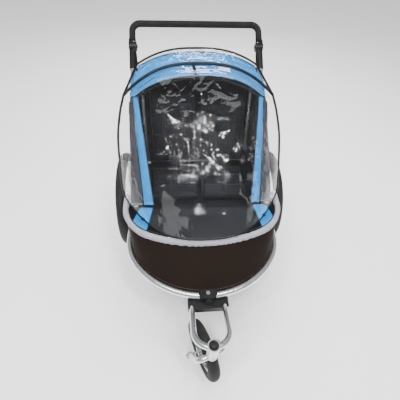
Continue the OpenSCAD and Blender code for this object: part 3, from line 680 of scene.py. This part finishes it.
def make_sides(mats):
    for name, side in SIDES.items():
        cloth_sheet(name + "_side_cloth", lambda u, v: side_at(v, u, side), (28, 40), (side, 0, 0),
                    mats["charcoal"], ("side_panels",), 0.0018)

        def rear(u, v):
            front = side_at(1, u, side)
            back = at(side * (320.5 - 2 * u), 214 + 103 * u, 331 + 520 * u)
            return front.lerp(back, v)

        cloth_sheet(name + "_rear_quarter_cloth", rear, (28, 14), (side, 0, 0), mats["charcoal"],
                    ("side_panels",), 0.0018)
        for face, offset in (("outer", 2.2), ("inner", -7.5)):
            cloth_sheet("%s_window_%s" % (name, face), lambda u, v: side_at(
                0.30 + 0.66 * v, 0.30 + (0.20 + 0.42 * v) * u, side, offset), (16, 30), (side, 0, 0), mats["mesh"],
                (), 0.0008)
        rim = [side_at(0.30 + 0.66 * v, 0.30, side, 3.0) for v in (i / 24 for i in range(25))]
        rim += [side_at(0.96, 0.30 + 0.62 * i / 12, side, 3.0) for i in range(1, 13)]
        rim += [side_at(0.30 + 0.66 * v, 0.50 + 0.42 * v, side, 3.0) for v in (1 - i / 24 for i in range(1, 25))]
        piping(name + "_window_piping", rim, 0.0022, mats["binding"], closed=True)


def make_lower_front(mats):
    def lower(u, v, lift=0.0):
        x, y = front_curve(1, 90 - 84 * u, 12)
        rear = cross_point(u, 274, (-302, 496), (-266, 467), 2.2)
        place = at(x, y, 459).lerp(rear, v)
        bulge = math.sin(math.pi * v) * (0.010 + crumple(place, 0.12, 0.006, 3.0).x)
        return place + Vector((0, 0, lift + bulge))

    cloth_sheet("lower_front_cloth", lambda u, v: lower(2 * u - 1, v), (72, 14), (0, -0.5, 1), mats["black"],
                ("lower_front_panel",), 0.0018)
    for name, side in SIDES.items():
        cloth_sheet(name + "_corner_patch", lambda u, v: lower(
            side * (0.34 + 0.25 * v + (0.34 - 0.10 * v) * u), 0.97 * v, 0.0028), (18, 14), (0, -0.5, 1),
            mats["blue"], (), 0.0012)
        bm = bmesh.new()
        bmesh.ops.create_cone(bm, cap_ends=True, segments=24, radius1=0.008, radius2=0.006, depth=0.004)
        bmesh.ops.translate(bm, verts=bm.verts, vec=lower(side * 0.54, 0.30, 0.006))
        add_piece(name + "_corner_snap", bm, mats["plastic"], "chassis")


def make_back(mats):
    lean = Vector((0, math.sin(math.radians(13)), math.cos(math.radians(13))))
    foot = at(0, 209.5, 332)

    def back(u, v):
        ease = math.sin(math.pi * u) * math.sin(math.pi * v)
        place = foot + lean * (0.5 * v) + Vector(((2 * u - 1) * 0.262, 0, 0))
        return place + Vector((0, 0.006 + crumple(place, 0.14, 0.006, 9.0).y, 0)) * ease

    cloth_sheet("rear_panel_cloth", back, (44, 40), (0, 1, 0), mats["charcoal"], ("rear_panel",),
                0.002)

    def window(u, v):
        low = foot + lean * 0.498 + Vector(((2 * u - 1) * 0.262, 0, 0))
        return low.lerp(roof_at(2 * u - 1, 1, 2), v)

    cloth_sheet("rear_window_net", window, (44, 12), (0, 1, 0), mats["mesh"], (), 0.0008)

    for name, side in SIDES.items():
        cloth_sheet(name + "_rear_corner_cloth", lambda u, v: (foot + lean * (0.5 * v) + Vector((side * 0.261, 0, 0)))
                    .lerp(at(side * (320.5 - 2 * v), 214 + 103 * v, 331 + 520 * v), u), (8, 30), (0, 1, 0),
                    mats["charcoal"], (), 0.0018)

    def pocket(u, v):
        place = foot + lean * (0.05 + 0.21 * v) + Vector(((2 * u - 1) * 0.19, 0.008, 0))
        ease = math.sin(math.pi * u) ** 0.5 * (0.25 + 0.75 * math.sin(math.pi * (0.15 + 0.6 * v)))
        return place + Vector((0, 0.016 + crumple(place, 0.07, 0.004, 11.0).y, 0)) * ease

    cloth_sheet("rear_pocket", pocket, (34, 20), (0, 1, 0), mats["black"], (), 0.0015)
    piping("rear_pocket_hem", [pocket(i / 30, 1) for i in range(31)], 0.0035, mats["binding"])


def make_cover(mats):
    """The clear rain cover: front and top sheets, and the black binding on their edges."""
    def front(u, v):
        place = cover_at(2 * u - 1, v)
        inner = math.sin(math.pi * v) ** 0.6 * math.sin(math.pi * u) ** 0.6
        puff = crumple(place, 0.13, 0.010, 13.0) + crumple(place, 0.05, 0.0025, 17.0)
        rise = creased(place, 0.085, 0.0075, 3.0) + creased(place, 0.045, 0.0035, 8.0)
        return place + (puff + (place - CABIN).normalized() * rise) * inner

    def top(u, v):
        place = cover_top_at(2 * u - 1, v)
        inner = math.sin(math.pi * v) ** 0.6 * math.sin(math.pi * u) ** 0.6
        rise = creased(place, 0.06, 0.006, 5.0) + creased(place, 0.035, 0.003, 9.0)
        return place + (crumple(place, 0.09, 0.006, 19.0) + Vector((0, 0, rise))) * inner

    made = cloth_sheet("rain_cover_front_film", front, (150, 130), outward_of(CABIN), mats["vinyl"],
                       ("rain_cover_front",), 0.0005)
    made.visible_shadow = False
    made = cloth_sheet("rain_cover_top_film", top, (130, 44), outward_of(CABIN), mats["vinyl"],
                       ("rain_cover_top",), 0.0005)
    made.visible_shadow = False
    steps = [i / 60 for i in range(61)]
    piping("cover_seam", [cover_at(2 * s - 1, 1) for s in steps], 0.0070, mats["binding"])
    piping("cover_rear_edge", [cover_top_at(2 * s - 1, 1) for s in steps], 0.0050, mats["binding"])
    piping("cover_hem", [cover_at(2 * s - 1, 0) for s in steps], 0.0032, mats["binding"])
    for name, side in SIDES.items():
        edge = [cover_at(side, s) for s in steps] + [cover_top_at(side, s) for s in steps[4::4]]
        piping(name + "_cover_edge", edge, 0.0056, mats["binding"])


def ribbon(name, points, width, side, material, thickness=0.0016):
    """A flat strap along a few points. side is the direction across it."""
    across = Vector(side).normalized() * width
    steps = [i / (len(points) - 1) for i in range(len(points))]

    def shape(u, v):
        spot = Vector([hermite(v, [(s, p[i]) for s, p in zip(steps, points)]) for i in range(3)])
        return spot + across * (u - 0.5)

    bm, size, area = sheet_mesh(shape, 4, 12 * (len(points) - 1), (0, -0.6, 0.8))
    made = add_piece(name, bm, material, "chassis", (), True)
    thicken(made, thickness, 0)
    return made


# ---------------------------------------------------------------- seat

def swollen(made, pressure, cap):
    """Blows a closed mesh up like a stuffed pad, with Cloth, and keeps the result."""
    rest = [v.co.copy() for v in made.data.vertices]
    cloth_mod = made.modifiers.new("cloth", "CLOTH")
    cloth_mod.settings.use_pressure = True
    cloth_mod.settings.uniform_pressure_force = pressure
    cloth_mod.settings.effector_weights.gravity = 0
    cloth_mod.settings.quality = 6
    scene = bpy.context.scene
    for number in range(1, 21):
        scene.frame_set(number)
    baked = made.evaluated_get(bpy.context.evaluated_depsgraph_get()).to_mesh()
    moved = [v.co.copy() for v in baked.vertices]
    made.modifiers.remove(cloth_mod)
    for vertex, old, new in zip(made.data.vertices, rest, moved):
        step = new - old
        if step.length > cap:
            step *= cap / step.length
        vertex.co = old + step
    scene.frame_set(1)


def pad(name, size, place, channels, mats):
    """A stuffed pad of size (x, y, z), with sewn channels across it at shares of its longer side."""
    bm = bmesh.new()
    bmesh.ops.create_cube(bm, size=1)
    bmesh.ops.scale(bm, verts=bm.verts, vec=[s - 0.010 for s in size])
    bmesh.ops.subdivide_edges(bm, edges=bm.edges, cuts=5, use_grid_fill=True)
    mesh = bpy.data.meshes.new(name)
    bm.to_mesh(mesh)
    bm.free()
    made = bpy.data.objects.new(name, mesh)
    bpy.context.scene.collection.objects.link(made)
    rounder = made.modifiers.new("round", "BEVEL")
    rounder.width = min(size) * 0.3
    rounder.segments = 3
    finer = made.modifiers.new("remesh", "REMESH")
    finer.mode = "VOXEL"
    finer.voxel_size = 0.006
    solid = bpy.data.meshes.new_from_object(made.evaluated_get(bpy.context.evaluated_depsgraph_get()))
    made.modifiers.clear()
    made.data = solid
    bpy.data.meshes.remove(mesh)
    solid.name = name
    swollen(made, 4.0, 0.008)
    thin = min(range(3), key=lambda i: size[i])
    long = 1 if thin == 2 else 2
    for vertex in solid.vertices:
        co = vertex.co
        share = co[long] / size[long] + 0.5
        depth = sum(math.exp(-((share - c) * size[long] / 0.006) ** 2) for c in channels)
        co[thin] *= 1 - 0.30 * min(depth, 1) * max(0.0, 1 - (abs(co.x) / (size[0] / 2)) ** 6)
    solid.transform(place)
    solid.update()
    for face in solid.polygons:
        face.use_smooth = True
    level = made.modifiers.new("smooth", "SUBSURF")
    level.levels = level.render_levels = 1
    solid.materials.clear()
    solid.materials.append(mats["pad"])
    return place_piece(made, "chassis", ("seat_cushion",) if thin == 2 else ("seat_back",), True)


def make_seat(mats):
    low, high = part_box("seat_cushion")
    size = high - low
    for name, side in SIDES.items():
        spot = Vector((side * size.x / 4, (low.y + high.y) / 2, (low.z + high.z) / 2))
        pad(name + "_seat_pad", (size.x / 2 - 0.006, size.y - 0.006, size.z - 0.006), Matrix.Translation(spot),
            (0.36, 0.68), mats)
        lean = Matrix.Rotation(math.radians(-13), 4, "X")
        middle_up = at(side * 125, 118, 404) + lean @ Vector((0, 0, 0.195))
        pad(name + "_back_pad", (0.244, 0.036, 0.384), Matrix.Translation(middle_up) @ lean, (0.22, 0.44, 0.66, 0.84),
            mats)
        for inner in (-1, 1):
            x = side * 125 + inner * 48
            points = [at(x, 166, 716), at(x, 148, 700), at(x, 118, 600), at(x - inner * 10, 92, 520),
                      at(x - inner * 26, 76, 470)]
            ribbon("%s_shoulder_strap_%s" % (name, "inner" if inner * side < 0 else "outer"), points, 0.024,
                   (1, 0, 0), mats["webbing"])
        ribbon(name + "_crotch_strap", [at(side * 125, -104, 405), at(side * 125, -20, 414), at(side * 125, 52, 436),
                                       at(side * 125, 66, 462)], 0.024, (1, 0, 0), mats["webbing"])
        bm = bmesh.new()
        bmesh.ops.create_cube(bm, size=1)
        bmesh.ops.scale(bm, verts=bm.verts, vec=(0.052, 0.012, 0.042))
        bmesh.ops.bevel(bm, geom=bm.edges[:], offset=0.005, segments=3, profile=0.5, affect="EDGES", material=-1)
        bmesh.ops.rotate(bm, verts=bm.verts, matrix=Matrix.Rotation(math.radians(-22), 3, "X"))
        bmesh.ops.translate(bm, verts=bm.verts, vec=at(side * 125, 62, 468))
        add_piece(name + "_buckle", bm, mats["plastic"], "chassis",
                  ("harness_buckles", "harness_straps"))


def make_hood_bow(mats):
    width, top, foot, y = 276, 888, 781, 92
    rise = top - foot
    radius = (width * width + rise * rise) / (2 * rise)
    half = math.asin(width / radius)
    lean = math.atan2(37, 110)
    points = []
    for i in range(41):
        turn = half * (i / 20 - 1)
        drop = radius * (1 - math.cos(turn))
        points.append(at(radius * math.sin(turn), y + drop * math.sin(lean), top - drop * math.cos(lean)))
    piping("hood_bow_rod", points, 0.005, mats["plastic"], replaces=("hood_bow",))


def make_lining(mats):
    """The black cloth under and beside the seat, which closes the cabin."""
    cloth_sheet("cabin_base_cloth", lambda u, v: at(636 * u - 318, -190 + 398 * v, 338 + 4 * math.sin(9 * v)),
                (20, 20), (0, 0, 1), mats["black"], (), 0.0015)
    for name, side in SIDES.items():
        cloth_sheet(name + "_side_lining", lambda u, v: side_at(v, 0.98 * u, side, -5), (16, 24), (-side, 0, 0),
                    mats["black"], (), 0.0008)


def make_ties(mats):
    for name, side in SIDES.items():
        ribbon(name + "_cover_tie", [at(side * 286, 281, 868), at(side * 290, 318, 886), at(side * 294, 352, 904)],
               0.014, (side * 0.5, 0.3, 0.2), mats["webbing"])
    ribbon("hood_centre_tie", [at(-28, 178, 913), at(-24, 130, 910), at(-20, 84, 905)], 0.013, (1, 0, 0),
           mats["webbing"])


def main():
    mats = make_materials()
    make_camera()
    make_studio()
    dress(mats["silver"], "bumper_bow", "side_rails", "cross_tubes", "front_arm", "castor_fork", "front_posts",
          "rear_hoop", "handle_tube")
    dress(mats["rim"], "left_rim", "right_rim", "front_rim", "left_hub", "right_hub")
    dress(mats["steel"], "side_axles", "hinge_pins", "tow_lock_pin", "left_spokes", "right_spokes", "left_bearings",
          "right_bearings", "front_bearings", "front_axle", "castor_steerer", "handle_pins", "clamp_bolt")
    dress(mats["bracket"], "axle_beam", "axle_brackets", "hinge_brackets", "tow_socket", "brake_pedal", "brake_hangers")
    dress(mats["plastic"], "floor_tray", "bumper_clamp", "arm_block", "headset_bushes", "steerer_cap",
          "handle_sleeves", "handle_knuckles", "left_angle_button", "right_angle_button", "left_release_button",
          "right_release_button")
    dress(mats["tyre"], "left_tyre", "right_tyre", "front_tyre")
    dress(mats["foam"], "foam_grip")
    make_front(mats)
    make_lower_front(mats)
    make_canopy(mats)
    make_sides(mats)
    make_back(mats)
    make_seat(mats)
    make_hood_bow(mats)
    make_cover(mats)
    make_ties(mats)
    make_lining(mats)


main()
